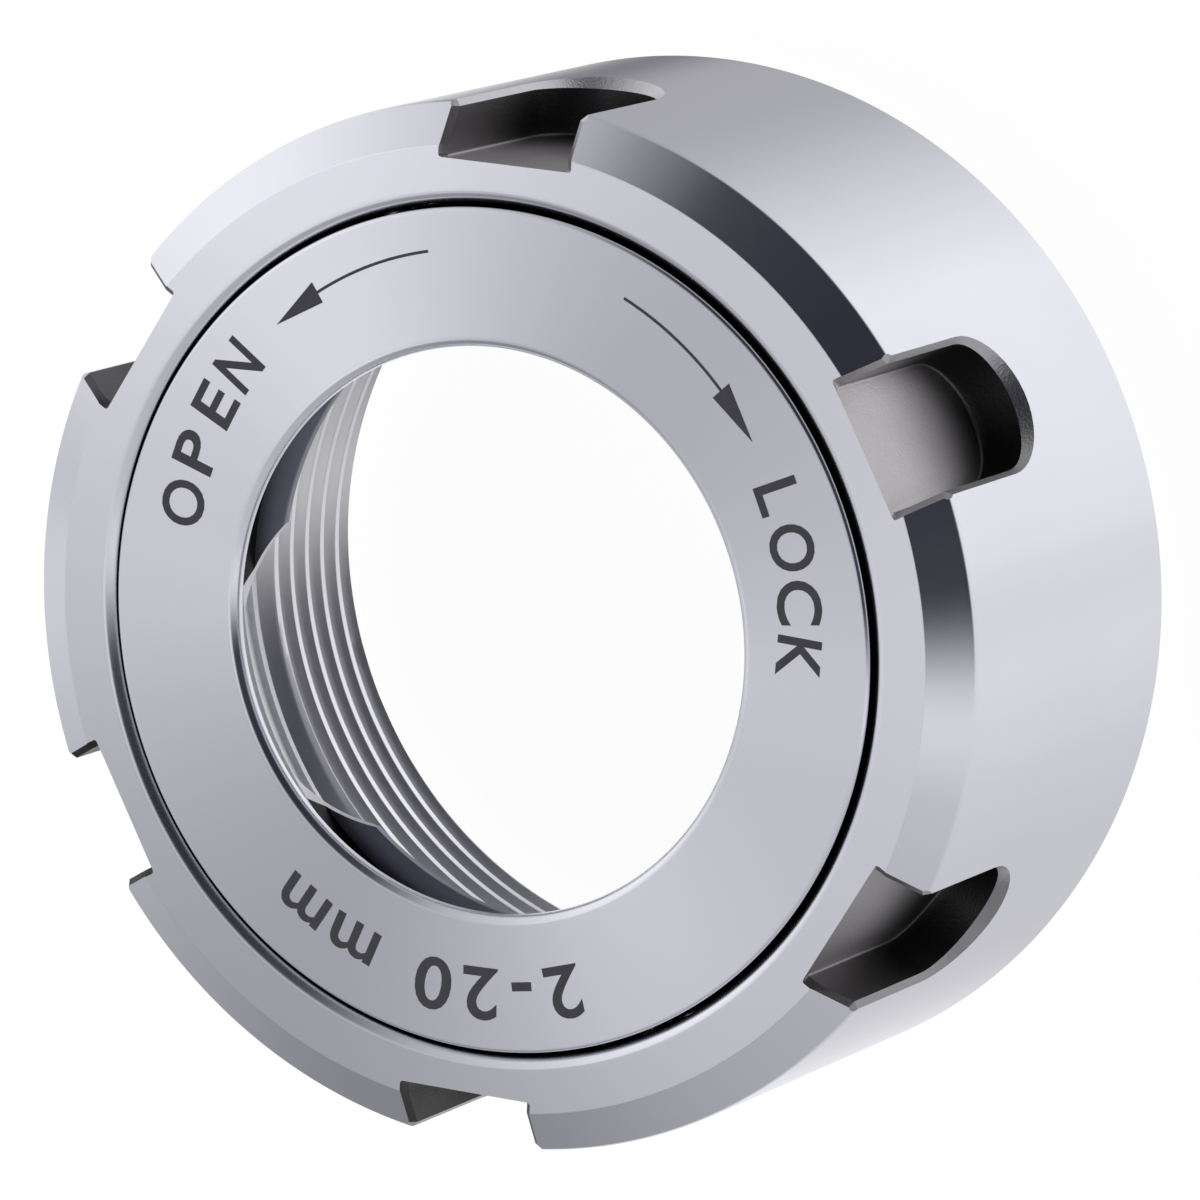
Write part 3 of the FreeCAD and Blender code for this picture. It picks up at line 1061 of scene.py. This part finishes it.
# %% List the marks and their sizes in millimetres
mark_sink = 0.02
mark_clearance = 0.006
centre_direction = 65.1
centre_offset = 1.62
capital_share = 0.729
letter_boldness = 0.05
letter_parts = 5
word_radius = 16.7
word_height = 2.33
word_letters = [
    ("O", 2.20, 141.4), ("P", 1.72, 132.3), ("E", 1.60, 123.4), ("N", 1.83, 115.3),
    ("L", 1.45, -5.8), ("O", 2.20, -14.2), ("C", 2.10, -23.1), ("K", 1.90, -32.0),
]
range_radius = 17.4
range_height = 2.6
range_letters = [
    ("2", 1.85, -103.0), ("-", 1.05, -110.5), ("2", 1.85, -118.0), ("0", 1.95, -126.5),
    ("m", 2.55, -142.0), ("m", 2.55, -152.5),
]
arrow_radius = 16.5
shaft_width = 0.14
shaft_parts = 24
head_half = 0.55
arrows = [(73.0, 95.4, 105.1), (36.0, 13.6, 3.8)]

mark_foot = ring_face - mark_sink
mark_top = nut_height - mark_clearance
mark_centre = polar(centre_direction, centre_offset)
print("marks", len(word_letters) + len(range_letters) + len(arrows))

# %% Mix the mark's finish
mark_slate = (0.062, 0.060, 0.076)
mark_roughness = 0.55
mark_cloud_scale = 1500.0
mark_tones = (0.8, 1.2)


def dull_finish(color):
    """A dull dark finish for burnt-in marks, a little uneven in tone."""
    made = bpy.data.materials.new("mark_finish")
    made.use_nodes = True
    tree = made.node_tree
    shader = tree.nodes["Principled BSDF"]
    shader.inputs["Roughness"].default_value = mark_roughness
    place = add(tree, "ShaderNodeTexCoord").outputs["Object"]
    cloud = noise(tree, place, mark_cloud_scale, detail=3.0)
    tint = map_range(tree, cloud, target=mark_tones)
    shade = add(tree, "ShaderNodeVectorMath", {0: color, 1: tint}, operation="MULTIPLY")
    tree.links.new(shade.outputs[0], shader.inputs["Base Color"])
    return made


mark_finish = dull_finish(mark_slate)
print("finish", mark_finish.name)


# %% Helpers for slabs and arrows
def slab(outline):
    """A thin flat slab over a closed outline of (x, y) points."""
    size = len(outline)
    points = [(x, y, mark_foot) for x, y in outline] + [(x, y, mark_top) for x, y in outline]
    faces = [tuple(range(size)), tuple(range(size, 2 * size))]
    for index in range(size):
        after = (index + 1) % size
        faces.append((index, after, after + size, index + size))
    made = bpy.data.meshes.new("slab")
    made.from_pydata(points, [], faces)
    return made


def arrow(start, stop, tip):
    """The slabs of an arrow bent round the marks' centre: a thin shaft and a head."""
    outer = arc(mark_centre, arrow_radius + shaft_width / 2, start, stop, shaft_parts)
    inner = arc(mark_centre, arrow_radius - shaft_width / 2, stop, start, shaft_parts)
    head = [polar(stop, arrow_radius + head_half, mark_centre),
            polar(stop, arrow_radius - head_half, mark_centre),
            polar(tip, arrow_radius, mark_centre)]
    return [slab(outer + inner), slab(head)]


print("marks stand", round(mark_top - ring_face, 3), "mm proud of the ring")


# %% Helpers for letters
def letter(symbol, width, height, place, up):
    """One letter as a slab: its width and height, its middle (x, y), and where its top points."""
    curve = bpy.data.curves.new("letter", "FONT")
    curve.body = symbol
    curve.size = height / capital_share
    curve.extrude = (mark_top - mark_foot) / 2
    curve.offset = letter_boldness
    curve.resolution_u = letter_parts
    holder = bpy.data.objects.new("work_letter", curve)
    bpy.context.scene.collection.objects.link(holder)
    depsgraph = bpy.context.evaluated_depsgraph_get()
    made = bpy.data.meshes.new_from_object(holder.evaluated_get(depsgraph))
    bpy.data.objects.remove(holder)
    left = min(point.co.x for point in made.vertices)
    right = max(point.co.x for point in made.vertices)
    made.transform(Matrix.Translation((-(left + right) / 2, -height / 2, 0)))
    made.transform(Matrix.Scale(width / (right - left), 4, (1, 0, 0)))
    made.transform(Matrix.Rotation(math.radians(up - 90), 4, "Z"))
    made.transform(Matrix.Translation((*place, (mark_top + mark_foot) / 2)))
    return made


def joined(meshes, finish):
    """One mesh of many, welded, with its faces pointing outwards."""
    work = bmesh.new()
    for part in meshes:
        work.from_mesh(part)
    bmesh.ops.remove_doubles(work, verts=work.verts, dist=weld)
    made = bpy.data.meshes.new("joined")
    work.to_mesh(made)
    work.free()
    made.materials.clear()
    made.materials.append(finish)
    return faced_outwards(made)


print("letters are", word_height, "and", range_height, "mm high")

# %% Set the marks
marks = []
for symbol, width, angle in word_letters:
    place = polar(angle, word_radius, mark_centre)
    marks.append(letter(symbol, width, word_height, place, angle))
for symbol, width, angle in range_letters:
    place = polar(angle, range_radius)
    marks.append(letter(symbol, width, range_height, place, angle))
for start, stop, tip in arrows:
    marks.extend(arrow(start, stop, tip))
place_piece("ring_marks", joined(marks, mark_finish), "ring")

# %% [markdown]
# ## Showing colours as they are lit
# The whole model has to stay inside the box of the solids that it stands for. The view is
# set to show colours as they are lit, because a film look would grey the white background.

bpy.context.scene.view_settings.view_transform = "Standard"
